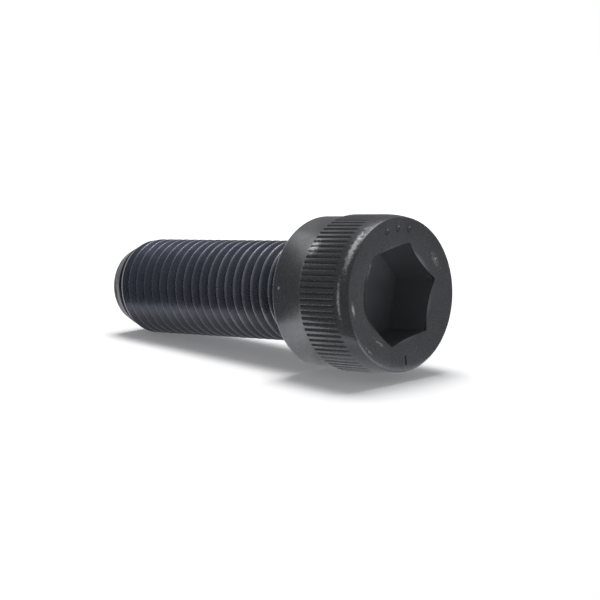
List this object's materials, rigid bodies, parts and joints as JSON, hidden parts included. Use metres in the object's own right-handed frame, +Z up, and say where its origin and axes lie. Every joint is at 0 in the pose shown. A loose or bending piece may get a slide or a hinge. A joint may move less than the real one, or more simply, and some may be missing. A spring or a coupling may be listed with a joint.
{
  "type": "hex socket cap screw",
  "caption": "Steel cap screw with a knurled cylindrical head, a hexagonal socket for a key and a fully threaded shank with a tapered tip.",
  "frame": {"origin": "centre of the bearing face under the head, on the screw's axis", "axes": "+Z up from the level floor that it lies on; the shank runs towards +Y and leans 5.4 degrees down to the floor; the socket faces -Y"},
  "size_m": [0.0242, 0.0624, 0.0251],
  "materials": {
    "black_oxide_steel": "black oxide on hardened alloy steel, thinly oiled, worn bright along the shoulder"
  },
  "bodies": {
    "root": {"cap_screw": "black_oxide_steel"}
  },
  "joints": []
}
